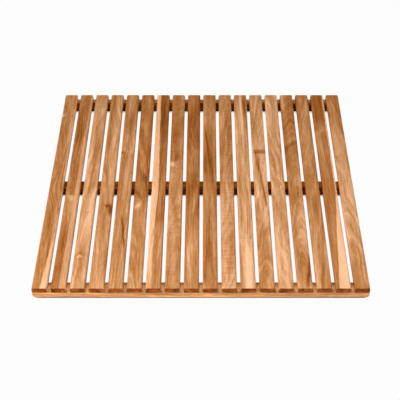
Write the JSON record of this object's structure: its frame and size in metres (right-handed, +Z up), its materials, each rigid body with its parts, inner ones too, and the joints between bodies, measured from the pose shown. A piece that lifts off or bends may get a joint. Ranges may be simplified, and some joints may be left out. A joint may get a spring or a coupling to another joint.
{
  "type": "bath mat",
  "caption": "Square slatted teak bath mat, narrow slats with drainage gaps screwed from below to cross rails on rubber grip strips.",
  "frame": {"origin": "on the floor, under the middle of the mat", "axes": "+Z up, -Y the front, slats run along Y and rails along X"},
  "size_m": [0.6, 0.6, 0.0245],
  "materials": {
    "teak_slats": "oiled, satin",
    "teak_rails": "oiled, satin",
    "grip_rubber": "ribbed, matt",
    "screw_steel": "stainless, satin"
  },
  "bodies": {
    "root": {"slat_01": "teak_slats", "slat_02": "teak_slats", "slat_03": "teak_slats", "slat_04": "teak_slats", "slat_05": "teak_slats", "slat_06": "teak_slats", "slat_07": "teak_slats", "slat_08": "teak_slats", "slat_09": "teak_slats", "slat_10": "teak_slats", "slat_11": "teak_slats", "slat_12": "teak_slats", "slat_13": "teak_slats", "slat_14": "teak_slats", "slat_15": "teak_slats", "slat_16": "teak_slats", "slat_17": "teak_slats", "slat_18": "teak_slats", "rail_front": "teak_rails", "grip_strip_front": "grip_rubber", "rail_middle": "teak_rails", "grip_strip_middle": "grip_rubber", "rail_back": "teak_rails", "grip_strip_back": "grip_rubber", "screw_front_01": "screw_steel", "screw_front_02": "screw_steel", "screw_front_03": "screw_steel", "screw_front_04": "screw_steel", "screw_front_05": "screw_steel", "screw_front_06": "screw_steel", "screw_front_07": "screw_steel", "screw_front_08": "screw_steel", "screw_front_09": "screw_steel", "screw_front_10": "screw_steel", "screw_front_11": "screw_steel", "screw_front_12": "screw_steel", "screw_front_13": "screw_steel", "screw_front_14": "screw_steel", "screw_front_15": "screw_steel", "screw_front_16": "screw_steel", "screw_front_17": "screw_steel", "screw_front_18": "screw_steel", "screw_back_01": "screw_steel", "screw_back_02": "screw_steel", "screw_back_03": "screw_steel", "screw_back_04": "screw_steel", "screw_back_05": "screw_steel", "screw_back_06": "screw_steel", "screw_back_07": "screw_steel", "screw_back_08": "screw_steel", "screw_back_09": "screw_steel", "screw_back_10": "screw_steel", "screw_back_11": "screw_steel", "screw_back_12": "screw_steel", "screw_back_13": "screw_steel", "screw_back_14": "screw_steel", "screw_back_15": "screw_steel", "screw_back_16": "screw_steel", "screw_back_17": "screw_steel", "screw_back_18": "screw_steel"}
  },
  "joints": []
}
